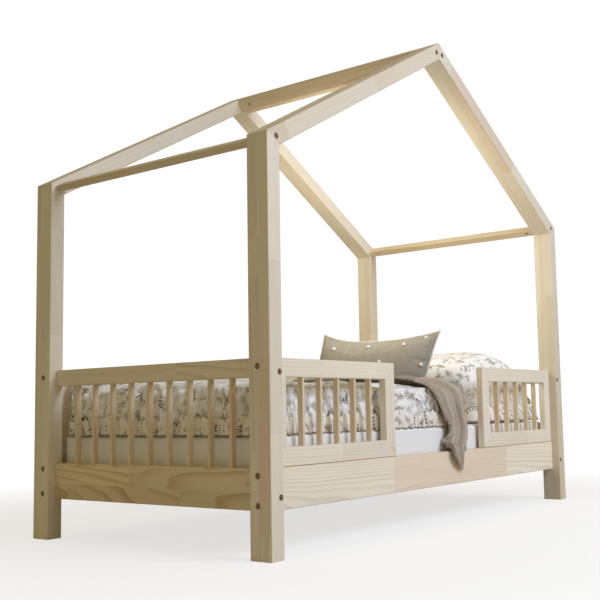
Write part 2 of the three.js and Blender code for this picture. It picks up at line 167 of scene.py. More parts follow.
seed_r, seed_g, seed_b = put(g, "ShaderNodeSeparateColor", {0: seed.outputs["Color"]}).outputs
# Growth rings round a heart line that lies beside each strip and is a little askew to it.
half_w = calc(g, "MULTIPLY", calc(g, "ADD", strip_w, 0.5), given["Strip Width"])
half_d = calc(g, "MULTIPLY", calc(g, "ADD", strip_d, 0.5), given["Strip Depth"])
wander_at = triple(
    g,
    calc(g, "MULTIPLY_ADD", along, 2.2, calc(g, "MULTIPLY", seed_r, 30.0)),
    calc(g, "MULTIPLY", wide, 9.0),
    calc(g, "MULTIPLY", deep, 9.0),
)
wander = calc(g, "MULTIPLY", calc(g, "SUBTRACT", mottle(g, wander_at, 2.0), 0.5), 0.016)
heart_w = calc(g, "SUBTRACT", wide, half_w)
heart_w = calc(g, "ADD", heart_w, calc(g, "MULTIPLY", calc(g, "SUBTRACT", seed_g, 0.5), 0.17))
heart_w = calc(g, "ADD", heart_w, wander)
lean = calc(g, "MULTIPLY", calc(g, "SUBTRACT", seed_b, 0.5), 0.06)
heart_w = calc(g, "MULTIPLY_ADD", along, lean, heart_w)
heart_d = calc(g, "SUBTRACT", deep, half_d)
heart_d = calc(g, "ADD", heart_d, calc(g, "MULTIPLY_ADD", seed_r, 0.05, 0.012))
ring_at = calc(g, "DIVIDE", span(g, triple(g, heart_w, heart_d, 0.0)), given["Ring"])
ring_step = calc(g, "FRACT", ring_at)
late = calc(g, "MULTIPLY", fade(g, ring_step, 0.40, 0.90), fade(g, ring_step, 0.93, 1.0, 1.0, 0.0))
year = put(g, "ShaderNodeTexWhiteNoise", {"W": calc(g, "FLOOR", ring_at)}, noise_dimensions="1D")
late = calc(g, "MULTIPLY", late, calc(g, "MULTIPLY_ADD", year.outputs["Value"], 0.65, 0.35))
fibre = mottle(g, stretched(g, axes, 14.0, 420.0, 420.0), 3.0)
cloud = mottle(g, stretched(g, axes, 3.5, 22.0, 22.0), 2.0)
EARLY_WOOD = (0.80, 0.73, 0.595, 1)
LATE_WOOD = (0.50, 0.32, 0.145, 1)
colour = blended(g, calc(g, "MULTIPLY", late, given["Grain"]), EARLY_WOOD, LATE_WOOD)
colour = blended(g, fade(g, seed_g, 0.72, 0.98, 0.0, 0.42), colour, (0.68, 0.50, 0.34, 1))
colour = blended(g, fade(g, seed_b, 0.70, 1.0, 0.0, 0.30), colour, (0.66, 0.60, 0.42, 1))
tone = calc(g, "MULTIPLY_ADD", seed.outputs["Value"], 0.13, 0.92)
tone = calc(g, "MULTIPLY", tone, calc(g, "MULTIPLY_ADD", fibre, 0.10, 0.95))
tone = calc(g, "MULTIPLY", tone, calc(g, "MULTIPLY_ADD", cloud, 0.14, 0.93))
colour = blended(g, 1.0, colour, triple(g, tone, tone, tone), "MULTIPLY")
# Painted warmth on the rounded edges, standing for the warm glow their arrises catch.
squareness = arrow_calc(g, "ABSOLUTE", given["Facing"])
face_x, face_y, face_z = put(g, "ShaderNodeSeparateXYZ", {0: squareness}).outputs
flatness = calc(g, "MAXIMUM", calc(g, "MAXIMUM", face_x, face_y), face_z)
colour = blended(g, fade(g, flatness, 0.82, 0.97, 0.34, 0.0), colour, (0.62, 0.40, 0.18, 1))
colour = blended(g, 1.0, colour, given["Tint"], "MULTIPLY")
g.links.new(colour, result["Color"])
g.links.new(calc(g, "MULTIPLY_ADD", fibre, 0.16, 0.40), result["Roughness"])
g.links.new(calc(g, "MULTIPLY_ADD", late, 0.5, fibre), result["Height"])


def raised(tree, height, strength, distance):
    """Gives a material's surface a fine relief."""
    bump = put(tree, "ShaderNodeBump", {"Height": height, "Strength": strength, "Distance": distance})
    tree.links.new(bump.outputs[0], tree.nodes["Principled BSDF"].inputs["Normal"])


def pine(name, turn, width, depth, block, ring, grain, tint=(1, 1, 1)):
    """Pine whose grain runs along the direction that turn brings onto X."""
    made = bpy.data.materials.new(name)
    made.use_nodes = True
    tree = made.node_tree
    where = put(tree, "ShaderNodeTexCoord").outputs
    angles = [math.radians(angle) for angle in turn]
    place = put(tree, "ShaderNodeMapping", {"Vector": where["Object"], "Rotation": angles})
    facing = put(
        tree, "ShaderNodeMapping", {"Vector": where["Normal"], "Rotation": angles}, vector_type="VECTOR"
    )
    wood = put(
        tree,
        "ShaderNodeGroup",
        {
            "Place": place.outputs[0],
            "Facing": facing.outputs[0],
            "Strip Width": width,
            "Strip Depth": depth,
            "Block": block,
            "Ring": ring,
            "Grain": grain,
            "Tint": (*tint, 1),
        },
        node_tree=pine_grain,
    )
    shader = tree.nodes["Principled BSDF"]
    tree.links.new(wood.outputs["Color"], shader.inputs["Base Color"])
    tree.links.new(wood.outputs["Roughness"], shader.inputs["Roughness"])
    raised(tree, wood.outputs["Height"], 0.35, 0.0005)
    return made


def finish_nodes(material, *starts):
    """Gives a material to the frame's nodes whose names begin so."""
    for name, node in nodes.items():
        if name.startswith(starts):
            node.data.materials.clear()
            node.data.materials.append(material)


ALONG_X = (0, 0, 0)
ALONG_Y = (0, 0, -90)
ALONG_Z = (0, 90, 0)
pine_post = pine("pine_post", ALONG_Z, 0.037, 0.75, 0.37, 0.0052, 0.26)
finish_nodes(pine_post, "post_")

# ------------------------------------------------------------------ rafters
# Four rafters of the same laminated stock, mitred on the post tops and meeting at a plumb cut.
# Their grain runs up the slope, so each pair has its own direction.

SLOPE = 29.5
pine_rafter_foot = pine("pine_rafter_foot", (0, SLOPE, 0), 0.037, 0.5, 0.41, 0.0056, 0.24)
pine_rafter_head = pine("pine_rafter_head", (0, -SLOPE, 0), 0.037, 0.5, 0.43, 0.0050, 0.24)
finish_nodes(pine_rafter_foot, "rafter_foot")
finish_nodes(pine_rafter_head, "rafter_head")

# ------------------------------------------------------------------ eaves and ridge beams
# Four slim beams run across the bed and tie the two gables together: one at each eaves, and a
# pair side by side under the ridge. They are a shade warmer than the posts.

pine_beam = pine("pine_beam", ALONG_Y, 0.8, 0.7, 0.36, 0.0042, 0.42, (0.97, 0.94, 0.88))
finish_nodes(pine_beam, "eaves_beam", "ridge_beam")

# ------------------------------------------------------------------ end panels
# The foot and head boards are wide planks with a bold flat-sawn figure. The top rails are
# narrower and plainer, and both are bolted between the posts.

pine_end = pine("pine_end", ALONG_Y, 0.8, 0.046, 0.40, 0.0036, 0.80, (0.97, 0.90, 0.78))
pine_end_rail = pine("pine_end_rail", ALONG_Y, 0.8, 0.25, 0.52, 0.0050, 0.34, (0.99, 0.97, 0.93))
finish_nodes(pine_end, "foot_board", "head_board")
finish_nodes(pine_end_rail, "foot_top_rail", "head_top_rail")

# ------------------------------------------------------------------ side boards
# Two 24 mm boards between the posts, flat-sawn and faintly figured. They are the palest wood on
# the bed, and carry the ledges of the slatted base.

pine_side = pine("pine_side", ALONG_X, 0.5, 0.25, 0.62, 0.0042, 0.42, (1.18, 1.18, 1.19))
finish_nodes(pine_side, "front_board", "back_board")

# ------------------------------------------------------------------ guards
# Mitred frames of 20 mm rails and stiles, with the slats let into the rails. Two short ones
# stand on the front board and a long one on the back board.

pine_rail = pine("pine_rail", ALONG_X, 0.5, 0.25, 0.33, 0.0048, 0.26, (1.07, 1.07, 1.08))
pine_stile = pine("pine_stile", ALONG_Z, 0.5, 0.75, 0.36, 0.0044, 0.26, (1.07, 1.07, 1.08))
for guard in ("guard_a", "guard_b", "back_guard"):
    finish_nodes(pine_rail, f"{guard}_top_rail", f"{guard}_bottom_rail")
    finish_nodes(pine_stile, f"{guard}_foot_stile", f"{guard}_head_stile")

# ------------------------------------------------------------------ slats
# Thin upright slats in the end panels and the guards, each from one strip of wood. They are a
# shade warmer than the frame, and tenoned into the rails above and below.

pine_slat = pine("pine_slat", ALONG_Z, 0.033, 0.022, 0.9, 0.0030, 0.40, (1.0, 0.93, 0.80))
finish_nodes(
    pine_slat, "foot_slat_", "head_slats", "guard_a_slat_", "guard_b_slat_", "back_guard_slats"
)

# ------------------------------------------------------------------ bed base
# Planed slats held at their spacing by two webbing straps. They lie on a ledge screwed inside
# each side board, and the wood is left raw.

pine_base = pine("pine_base", ALONG_Y, 0.1014, 0.9, 0.9, 0.0055, 0.55, (0.97, 0.93, 0.84))
pine_ledge = pine("pine_ledge", ALONG_X, 0.5, 0.25, 0.55, 0.0050, 0.45, (0.97, 0.93, 0.84))
finish_nodes(pine_base, "slatted_base")
finish_nodes(pine_ledge, "front_ledge", "back_ledge")

# ------------------------------------------------------------------ bolts and barrel nuts
# Hex-socket furniture bolts in bronze-coloured steel sit in counterbores, and pull against
# barrel nuts let into the boards from inside.


def new_piece(name, shape, material, smooth=True):
    """Makes a finished piece from a bmesh: its place is in its mesh, and it rides on the bed."""
    mesh = bpy.data.meshes.new(name)
    shape.to_mesh(mesh)
    shape.free()
    mesh.materials.append(material)
    if smooth:
        mesh.shade_smooth()
    piece = bpy.data.objects.new(name, mesh)
    scene.collection.objects.link(piece)
    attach(piece, "root")
    return piece


def metal(name, colour, roughness):
    """Plated steel with faint clouding."""
    made = bpy.data.materials.new(name)
    made.use_nodes = True
    tree = made.node_tree
    where = put(tree, "ShaderNodeTexCoord").outputs["Object"]
    clouds = put(tree, "ShaderNodeTexNoise", {"Vector": where, "Scale": 900.0, "Detail": 2.0}).outputs[0]
    shader = tree.nodes["Principled BSDF"]
    shader.inputs["Metallic"].default_value = 0.85
    dark = tuple(0.55 * value for value in colour)
    worn = fade(tree, clouds, 0.2, 0.8, roughness - 0.08, roughness + 0.12)
    tree.links.new(blended(tree, clouds, (*dark, 1), (*colour, 1)), shader.inputs["Base Color"])
    tree.links.new(worn, shader.inputs["Roughness"])
    return made


bronze = metal("bronze_steel", (0.66, 0.47, 0.29), 0.36)
# The darker bronze is painted shade, for the shadow gap round each head in its counterbore and the shade
# inside the socket.
bronze_painted_shade = metal("bronze_steel_painted_shade", (0.13, 0.075, 0.04), 0.42)
zinc = metal("zinc_steel", (0.55, 0.54, 0.52), 0.42)
HEAD_RADIUS = 0.0057
HEAD_THICK = 0.0036
SHANK_RADIUS = 0.003
NUT_RADIUS = 0.0047
NUT_LONG = 0.0112


def facing_matrix(place, outward):
    """Puts a shape's origin at a place, with its Z pointing outward."""
    turn = Vector((0, 0, 1)).rotation_difference(Vector(outward)).to_matrix().to_4x4()
    return Matrix.Translation(Vector(place)) @ turn


def broken_edge(shape, edges, offset, segments):
    """Rounds some of a shape's edges."""
    bmesh.ops.bevel(
        shape, geom=edges, offset=offset, segments=segments, profile=0.5, affect="EDGES", material=-1
    )


def furniture_bolt(name, place, outward, shank):
    """A bolt whose head's underside is at a place."""
    shape = bmesh.new()
    bmesh.ops.create_cone(
        shape, cap_ends=True, segments=24, radius1=HEAD_RADIUS, radius2=HEAD_RADIUS, depth=HEAD_THICK
    )
    rim = [edge for edge in shape.edges if all(v.co.z > 0 for v in edge.verts)]
    broken_edge(shape, rim, 0.0015, 3)
    top = max(shape.faces, key=lambda face: face.calc_center_median().z)
    bmesh.ops.inset_individual(shape, faces=[top], thickness=0.0017, depth=0.0)
    for vert in top.verts:
        angle = math.atan2(vert.co.y, vert.co.x)
        corner = (angle + math.pi / 6) % (math.pi / 3) - math.pi / 6
        reach = 0.0024 / math.cos(corner)
        vert.co.x = reach * math.cos(angle)
        vert.co.y = reach * math.sin(angle)
    # The head's top takes the plain bronze, and its sides and shank take the painted shade.
    for face in shape.faces:
        face.material_index = 1 if face.calc_center_median().z > 0.98 * HEAD_THICK / 2 else 0
    floor = bmesh.ops.extrude_discrete_faces(shape, faces=[top])["faces"][0]
    bmesh.ops.translate(shape, verts=floor.verts, vec=(0, 0, -0.0022))
    # The socket's floor takes the plain bronze, and its walls take the painted shade.
    for edge in floor.edges:
        for face in edge.link_faces:
            face.material_index = 1 if face is floor else 0
    bmesh.ops.translate(shape, verts=shape.verts, vec=(0, 0, HEAD_THICK / 2))
    lift = Matrix.Translation((0, 0, 0.0002 - shank / 2))
    bmesh.ops.create_cone(
        shape,
        cap_ends=True,
        segments=12,
        radius1=SHANK_RADIUS,
        radius2=SHANK_RADIUS,
        depth=shank,
        matrix=lift,
    )
    shape.transform(facing_matrix(place, outward))
    bolt = new_piece(name, shape, bronze_painted_shade, smooth=False)
    bolt.data.materials.append(bronze)
    return bolt


def barrel_nut(name, place, outward):
    """A slotted barrel nut centred on a place."""
    shape = bmesh.new()
    bmesh.ops.create_cone(
        shape, cap_ends=True, segments=24, radius1=NUT_RADIUS, radius2=NUT_RADIUS, depth=NUT_LONG
    )
    rims = [edge for edge in shape.edges if abs(edge.verts[0].co.z - edge.verts[1].co.z) < 1e-6]
    broken_edge(shape, rims, 0.0006, 2)
    top = max(shape.faces, key=lambda face: face.calc_center_median().z)
    bmesh.ops.inset_individual(shape, faces=[top], thickness=0.0008, depth=0.0)
    for vert in top.verts:
        angle = math.atan2(vert.co.y, vert.co.x)
        vert.co.x = 0.0033 * math.cos(angle)
        vert.co.y = 0.0007 * max(-1, min(1, 3 * math.sin(angle)))
    floor = bmesh.ops.extrude_discrete_faces(shape, faces=[top])["faces"][0]
    bmesh.ops.translate(shape, verts=floor.verts, vec=(0, 0, -0.0015))
    shape.transform(facing_matrix(place, outward))
    return new_piece(name, shape, zinc, smooth=False)


SINK = 0.00498
# Each bolt's Y and Z, its nut's X, and the inner face of the board or guard.
SIDE_BOLTS = (
    (0.363, 0.114, 0.6678, 0.351),
    (0.363, 0.176, 0.6678, 0.351),
    (0.365, 0.407, 0.6558, 0.355),
)
tilt = math.radians(SLOPE)
for end, sx in (("foot", -1), ("head", 1)):
    for side, sy in (("front", -1), ("back", 1)):
        corner = f"{end}_{side}"
        # Through the posts into the side boards and the guards.
        for count, (y, z, nut_x, inner) in enumerate(SIDE_BOLTS, 1):
            head = (sx * (0.75 - SINK), sy * y, z)
            furniture_bolt(f"side_bolt_{corner}_{count}", head, (sx, 0, 0), 0.75 - nut_x + 0.001)
            nut = (sx * nut_x, sy * (inner + 0.0100), z)
            barrel_nut(f"side_nut_{corner}_{count}", nut, (0, -sy, 0))
        # Through the posts into the end panels.
        outer_y = sy * (0.4 - SINK)
        for count, z in enumerate((0.130, 0.394), 1):
            furniture_bolt(f"end_bolt_{corner}_{count}", (sx * 0.718, outer_y, z), (0, sy, 0), 0.101)
            barrel_nut(f"end_nut_{corner}_{count}", (sx * 0.7170, sy * 0.2998, z), (-sx, 0, 0))
        # Through the rafters into the eaves and ridge beams.
        under = (-sx * math.sin(tilt), 0, -math.cos(tilt))
        furniture_bolt(f"eaves_bolt_{corner}", (sx * 0.719, outer_y, 0.9074), (0, sy, 0), 0.089)
        barrel_nut(f"eaves_nut_{corner}", (sx * 0.719, sy * 0.3118, 0.9074), under)
        down = (sx * math.cos(tilt), 0, -math.sin(tilt))
        furniture_bolt(f"ridge_bolt_{corner}", (sx * 0.015, outer_y, 1.3057), (0, sy, 0), 0.101)
        barrel_nut(f"ridge_nut_{corner}", (sx * 0.0158, sy * 0.2998, 1.3053), down)

# ------------------------------------------------------------------ mattress
# A 100 mm foam mattress in a white fitted sheet, which is pulled tight and gathers a little
# towards the corners.

crumple, given, result = new_group(
    "cloth_crumple",
    [("Place", ARROW, None), ("Thread", NUMBER, 0.0009), ("Fold", NUMBER, 0.06)],
    [("Height", NUMBER), ("Shade", NUMBER), ("Crease", NUMBER)],
)
g = crumple
by_fold = arrow_calc(g, "DIVIDE", given["Place"], triple(g, *[given["Fold"]] * 3))
soft = put(g, "ShaderNodeTexNoise", {"Vector": by_fold, "Scale": 1.0, "Detail": 3.0, "Distortion": 0.8})
sharp = put(
    g, "ShaderNodeTexNoise", {"Vector": by_fold, "Scale": 1.7, "Detail": 3.0, "Distortion": 1.2},
    noise_type="RIDGED_MULTIFRACTAL",
)
by_thread = arrow_calc(g, "DIVIDE", given["Place"], triple(g, *[given["Thread"]] * 3))
thread = mottle(g, by_thread, 1.0)
height = calc(g, "MULTIPLY_ADD", sharp.outputs[0], -0.35, soft.outputs[0])
# The Crease output marks the sharp creases, where printed cloth paints shade.
g.links.new(fade(g, sharp.outputs[0], 1.0, 1.7), result["Crease"])
height = calc(g, "MULTIPLY_ADD", thread, 0.03, height)
g.links.new(height, result["Height"])
g.links.new(calc(g, "MULTIPLY_ADD", thread, 0.06, 0.97), result["Shade"])


def woven(name, colour, thread, fold, bump, roughness=0.85, sheen=0.25):
    """Plain woven cloth. Returns the material, its tree, its colour and where it is creased."""
    made = bpy.data.materials.new(name)
    made.use_nodes = True
    tree = made.node_tree
    where = put(tree, "ShaderNodeTexCoord").outputs["Object"]
    folds = put(
        tree, "ShaderNodeGroup", {"Place": where, "Thread": thread, "Fold": fold}, node_tree=crumple
    )
    shader = tree.nodes["Principled BSDF"]
    shader.inputs["Roughness"].default_value = roughness
    shader.inputs["Sheen Weight"].default_value = sheen
    shade = folds.outputs["Shade"]
    base = blended(tree, 1.0, (*colour, 1), triple(tree, shade, shade, shade), "MULTIPLY")
    tree.links.new(base, shader.inputs["Base Color"])
    raised(tree, folds.outputs["Height"], bump, 0.006)
    return made, tree, base, folds.outputs["Crease"]


def cloth(*finish, **more):
    """Plain woven cloth, as a material only."""
    return woven(*finish, **more)[0]


def rounded_pad(size, radius, cuts):
    """A box, cut into a fine grid, whose edges are rounded to a radius."""
    shape = bmesh.new()
    bmesh.ops.create_cube(shape, size=2.0)
    bmesh.ops.subdivide_edges(shape, edges=shape.edges[:], cuts=cuts, use_grid_fill=True)
    half = [value / 2 for value in size]
    for vert in shape.verts:
        point = Vector([vert.co[axis] * half[axis] for axis in range(3)])
        core = Vector([max(-half[i] + radius, min(half[i] - radius, point[i])) for i in range(3)])
        away = point - core
        if away.length > 1e-9:
            reach = max(abs(value) for value in away)
            point = core + away.normalized() * reach
        vert.co = point
    return shape


sheet_white = cloth("sheet_cotton", (0.86, 0.86, 0.85), 0.0008, 0.09, 0.25)
low, high = (Vector(corner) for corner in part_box("mattress"))
size = high - low
middle = (low + high) / 2
shape = rounded_pad(size - Vector((0.004, 0.004, 0.001)), 0.011, 70)
for vert in shape.verts:
    point = vert.co
    side = max(abs(point.x) / (size.x / 2), abs(point.y) / (size.y / 2))
    corner = min(1, (abs(point.x) / (size.x / 2)) ** 6 * (abs(point.y) / (size.y / 2)) ** 3 + 0.3)
    ripple = noise.noise(Vector((point.x * 26, point.y * 26, point.z * 5)))
    point += point.normalized() * (0.0016 * ripple * corner * side)
bmesh.ops.translate(shape, verts=shape.verts, vec=middle - Vector((0, 0, 0.0005)))
mattress = new_piece("mattress_in_fitted_sheet", shape, sheet_white)
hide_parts("mattress")

# ------------------------------------------------------------------ quilt
# A thick quilt in white cotton, printed with brown and olive sprigs. It lies on the foot half of
# the mattress, soft and creased, with a gathered flounce and a cream frill sewn round its edge.

sprigs, given, result = new_group(
    "sprig_print",
    [("Place", ARROW, None), ("Cell", NUMBER, 0.06), ("Seed", NUMBER, 0.0), ("Bold", NUMBER, 1.0)],
    [("Color", COLOUR), ("Ink", NUMBER)],
)
g = sprigs
paper = arrow_calc(g, "DIVIDE", given["Place"], triple(g, given["Cell"], given["Cell"], 1.0))
paper = arrow_calc(g, "ADD", paper, triple(g, given["Seed"], given["Seed"], 0.0))
spots = put(
    g,
    "ShaderNodeTexVoronoi",
    {"Vector": paper, "Scale": 1.0, "Randomness": 0.8},
    voronoi_dimensions="2D",
)
pick_r, pick_g, pick_b = put(g, "ShaderNodeSeparateColor", {0: spots.outputs["Color"]}).outputs
arm = arrow_calc(g, "SUBTRACT", paper, spots.outputs["Position"])
arm = put(
    g, "ShaderNodeVectorRotate", {"Vector": arm, "Angle": calc(g, "MULTIPLY", pick_r, 6.283)},
    rotation_type="Z_AXIS",
).outputs[0]
out_x, out_y, _ = put(g, "ShaderNodeSeparateXYZ", {0: arm}).outputs
bent = calc(g, "MULTIPLY_ADD", calc(g, "MULTIPLY", out_x, out_x), -0.55, out_y)
off = calc(g, "ABSOLUTE", bent)
reach = fade(g, calc(g, "ABSOLUTE", out_x), 0.30, 0.34, 1.0, 0.0)
stem = calc(g, "MULTIPLY", fade(g, off, 0.012, 0.03, 1.0, 0.0), reach)
leaf_x = calc(g, "SUBTRACT", calc(g, "FLOORED_MODULO", out_x, 0.15), 0.06)
leaf_y = calc(g, "SUBTRACT", off, 0.085)
leaf_x = calc(g, "MULTIPLY_ADD", leaf_y, -0.6, leaf_x)
leaf = span(g, triple(g, calc(g, "DIVIDE", leaf_x, 0.040), calc(g, "DIVIDE", leaf_y, 0.075), 0.0))
leaf = calc(g, "MULTIPLY", fade(g, leaf, 0.8, 1.1, 1.0, 0.0), reach)
BERRIES = ((0.36, 0.10, 0.05), (0.40, -0.03, 0.042), (-0.38, 0.05, 0.045), (0.24, -0.16, 0.04))
berries = 0.0
for berry_x, berry_y, radius in BERRIES:
    gap = span(g, arm, (berry_x, berry_y, 0.0))
    berries = calc(g, "MAXIMUM", berries, fade(g, gap, 0.7 * radius, 1.15 * radius, 1.0, 0.0))
shown = fade(g, pick_g, 0.34, 0.38)
ink = calc(g, "MAXIMUM", calc(g, "MAXIMUM", stem, leaf), berries)
ink = calc(g, "MULTIPLY", calc(g, "MULTIPLY", ink, shown), given["Bold"])
ink_colour = blended(g, fade(g, pick_b, 0.50, 0.60), (0.085, 0.045, 0.03, 1), (0.26, 0.22, 0.09, 1))
ink_colour = blended(g, fade(g, pick_b, 0.78, 0.84), ink_colour, (0.30, 0.13, 0.075, 1))
ink_colour = blended(g, berries, ink_colour, (0.12, 0.05, 0.035, 1))
g.links.new(ink_colour, result["Color"])
g.links.new(ink, result["Ink"])


def printed_cloth(name, ground, where_name, fold, bump, hem=None):
    """White cotton with two sizes of sprig and a soft olive wash, laid out on a piece's own map."""
    made, tree, base, painted_crease_shade = woven(name, ground, 0.0008, fold, bump)
    shader = tree.nodes["Principled BSDF"]
    place = put(tree, "ShaderNodeAttribute", attribute_name=where_name).outputs["Vector"]
    wash = put(tree, "ShaderNodeTexNoise", {"Vector": place, "Scale": 7.0, "Detail": 2.0}).outputs[0]
    base = blended(tree, fade(tree, wash, 0.60, 0.70, 0.0, 0.40), base, (0.58, 0.54, 0.33, 1))
    for cell, start, bold in ((0.050, 3.1, 0.95), (0.031, 11.7, 0.75)):
        drawn = put(
            tree,
            "ShaderNodeGroup",
            {"Place": place, "Cell": cell, "Seed": start, "Bold": bold},
            node_tree=sprigs,
        )
        base = blended(tree, drawn.outputs["Ink"], base, drawn.outputs["Color"])
    if hem:
        # Painted shade darkens the ruffles' creases, and a thin brown line runs along the hem.
        _, down, crease = put(tree, "ShaderNodeSeparateXYZ", {0: place}).outputs
        base = blended(tree, fade(tree, crease, 0.0, 1.0, 0.0, 0.62), base, (0.40, 0.33, 0.23, 1))
        hem_line = fade(tree, down, hem - 0.0035, hem - 0.0015, 0.0, 0.85)
        base = blended(tree, hem_line, base, (0.34, 0.24, 0.13, 1))
    # Painted shade along the crumple's sharp creases.
    base = blended(tree, calc(tree, "MULTIPLY", painted_crease_shade, 0.38), base, (0.30, 0.24, 0.16, 1))
    tree.links.new(base, shader.inputs["Base Color"])
    return made


def keep_map(piece, name, locate):
    """Stores where each point lies on the flat cloth, for the print to follow."""
    mesh = piece.data
    layer = mesh.attributes.new(name, "FLOAT_VECTOR", "POINT")
    for vert in mesh.vertices:
        layer.data[vert.index].vector = locate(vert)


def applied(piece):
    """Turns a piece's live modifiers into its mesh."""
    bpy.context.view_layer.update()
    made = bpy.data.meshes.new_from_object(piece.evaluated_get(bpy.context.evaluated_depsgraph_get()))
    piece.modifiers.clear()
    old = piece.data
    piece.data = made
    bpy.data.meshes.remove(old)


def kept_within(piece, least, most):
    """Moves every point that lies outside a box onto it."""
    for vert in piece.data.vertices:
        vert.co = [max(a, min(b, value)) for a, value, b in zip(least, vert.co, most)]


def smoothed(piece):
    """Rounds a pad off between its points."""
    smoother = piece.modifiers.new("smoother", "SUBSURF")
    smoother.levels = smoother.render_levels = 1


def thickened(piece, thickness):
    """Gives a sheet its thickness, half to each side."""
    thick = piece.modifiers.new("thick", "SOLIDIFY")
    thick.thickness = thickness
    thick.offset = 0


def plump(piece, voxel, pressure, cap, loose, held):
    """Swells a pad as cloth, with its held points pinned and no point moving further than cap."""
    remesh = piece.modifiers.new("remesh", "REMESH")
    remesh.mode = "VOXEL"
    remesh.voxel_size = voxel
    applied(piece)
    before = [vert.co.copy() for vert in piece.data.vertices]
    pins = piece.vertex_groups.new(name="pins")
    pins.add([i for i, point in enumerate(before) if held(point)], 1.0, "REPLACE")
    swelling = piece.modifiers.new("swelling", "CLOTH")
    settings = swelling.settings
    settings.quality = 4
    settings.mass = 0.25
    settings.use_pressure = True
    settings.uniform_pressure_force = pressure
    settings.effector_weights.gravity = 0
    settings.vertex_group_mass = "pins"
    settings.shrink_min = -loose
    settings.bending_stiffness = 0.15
    swelling.collision_settings.use_collision = False
    swelling.point_cache.frame_start = 1
    swelling.point_cache.frame_end = SWELL_FRAMES
    for moment in range(1, SWELL_FRAMES + 1):
        scene.frame_set(moment)
    applied(piece)
    scene.frame_set(1)
    piece.vertex_groups.clear()
    for vert, start in zip(piece.data.vertices, before):
        move = vert.co - start
        if move.length > cap:
            vert.co = start + move * (cap / move.length)
    piece.data.shade_smooth()


SWELL_FRAMES = 20
quilt_cotton = printed_cloth("quilt_cotton", (0.90, 0.89, 0.87), "print", 0.045, 0.9)
low, high = (Vector(corner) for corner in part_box("duvet"))
size = high - low
middle = (low + high) / 2
shape = rounded_pad(size - Vector((0.026, 0.034, 0.002)), 0.022, 60)
for vert in shape.verts:
    point = vert.co
    if point.z > -0.02:
        place = Vector((point.x, point.y, 0))
        swell = 0.014 * noise.noise(place * 9.0)
        crease = noise.ridged_multi_fractal(place * 5.5 + Vector((3, 1, 0)), 0.9, 2.1, 3, 0.9, 1.8)
        point.z += (swell - 0.011 * crease + 0.008 + 0.030 * point.y) * min(1, (point.z + 0.02) / 0.05)
bmesh.ops.translate(shape, verts=shape.verts, vec=middle + Vector((0.002, 0.007, 0.001)))
quilt = new_piece("quilt", shape, quilt_cotton)
quilt_low = low.z + 0.012
plump(quilt, 0.0085, 2.0, 0.010, 0.05, lambda point: point.z < quilt_low)
kept_within(quilt, low + Vector((-0.002, -0.003, 0.0005)), high + Vector((0.004, 0.006, 0.012)))
quilt_top = high.z
keep_map(
    quilt,
    "print",
    lambda vert: (
        vert.co.x + vert.normal.x * (quilt_top - vert.co.z),
        vert.co.y + vert.normal.y * (quilt_top - vert.co.z),
        0,
    ),
)
smoothed(quilt)
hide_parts("duvet")


def track(corners, radius, step, closed=False):
    """Points and outward directions along a run that turns left at rounded corners, in plan."""
    points = [Vector(corner) for corner in corners]
    ways = []
    total = len(points)
    spans = total if closed else total - 1
    for i in range(spans):
        start, end = points[i], points[(i + 1) % total]
        way = (end - start).normalized()
        first = 0 if (i == 0 and not closed) else radius
        last = 0 if (i == spans - 1 and not closed) else radius
        length = (end - start).length - first - last
        outward = Vector((way.y, -way.x))
        steps = max(1, round(length / step))
        for k in range(steps):
            ways.append((start + way * (first + length * k / steps), outward.copy()))
        if last:
            after = points[(i + 2) % total] - end
            turn = 1 if way.x * after.y - way.y * after.x > 0 else -1
            centre = end - way * radius - outward * radius * turn
            arc = math.pi / 2
            steps = max(1, round(arc * radius / step))
            for k in range(steps):
                angle = arc * k / steps
                bow = outward * math.cos(angle) + way * math.sin(angle)
                ways.append((centre + bow * radius, bow))
        else:
            ways.append((end.copy(), outward.copy()))
    if closed:
        ways.append(ways[0])
    return ways


def ruffle(name, run, depth_steps, shape_of, material, gather, deep):
    """A gathered strip along a run. shape_of gives a point's place and how deep in a crease it is."""
    shape = bmesh.new()
    steps = len(run) - 1
    bmesh.ops.create_grid(shape, x_segments=steps, y_segments=depth_steps, size=0.5)
    distances = [0.0]
    for (before, _), (after, _) in zip(run, run[1:]):
        distances.append(distances[-1] + (after - before).length)
    flat = shape.verts.layers.float_vector.new("print")
    for vert in shape.verts:
        index = round((vert.co.x + 0.5) * steps)
        drop = vert.co.y + 0.5
        point, outward = run[index]
        x, y, z, crease = shape_of(point, outward, distances[index], drop)
        # The third value is how deep the point lies in a crease, where the print paints shade.
        vert[flat] = (distances[index] * gather, drop * deep, max(0, min(1, crease)))
        vert.co = (x, y, z)
    bmesh.ops.reverse_faces(shape, faces=shape.faces)
    piece = new_piece(name, shape, material)
    thickened(piece, 0.0009)
    return piece


def waves(distance, length, seed):
    """The uneven in and out of gathered cloth, from about -1 to 1."""
    drift = 2.4 * noise.noise(Vector((distance * 9, seed, 0)))
    big = 2 * abs(math.sin(math.pi * distance / length + drift)) ** 0.6 - 1
    small = 2 * abs(math.sin(math.pi * distance / (0.43 * length) + 2 * drift + seed)) ** 0.7 - 1
    size = 0.85 + 0.6 * noise.noise(Vector((distance * 13, seed + 5, 0)))
    return size * (0.75 * big + 0.40 * small)


quilt_edge = [
    (high.x - 0.012, high.y - 0.004),
    (low.x + 0.004, high.y - 0.004),
    (low.x + 0.004, low.y + 0.004),
    (high.x - 0.012, low.y + 0.004),
]
QUILT_CORNER = 0.024
hem_low = low.z + 0.0025


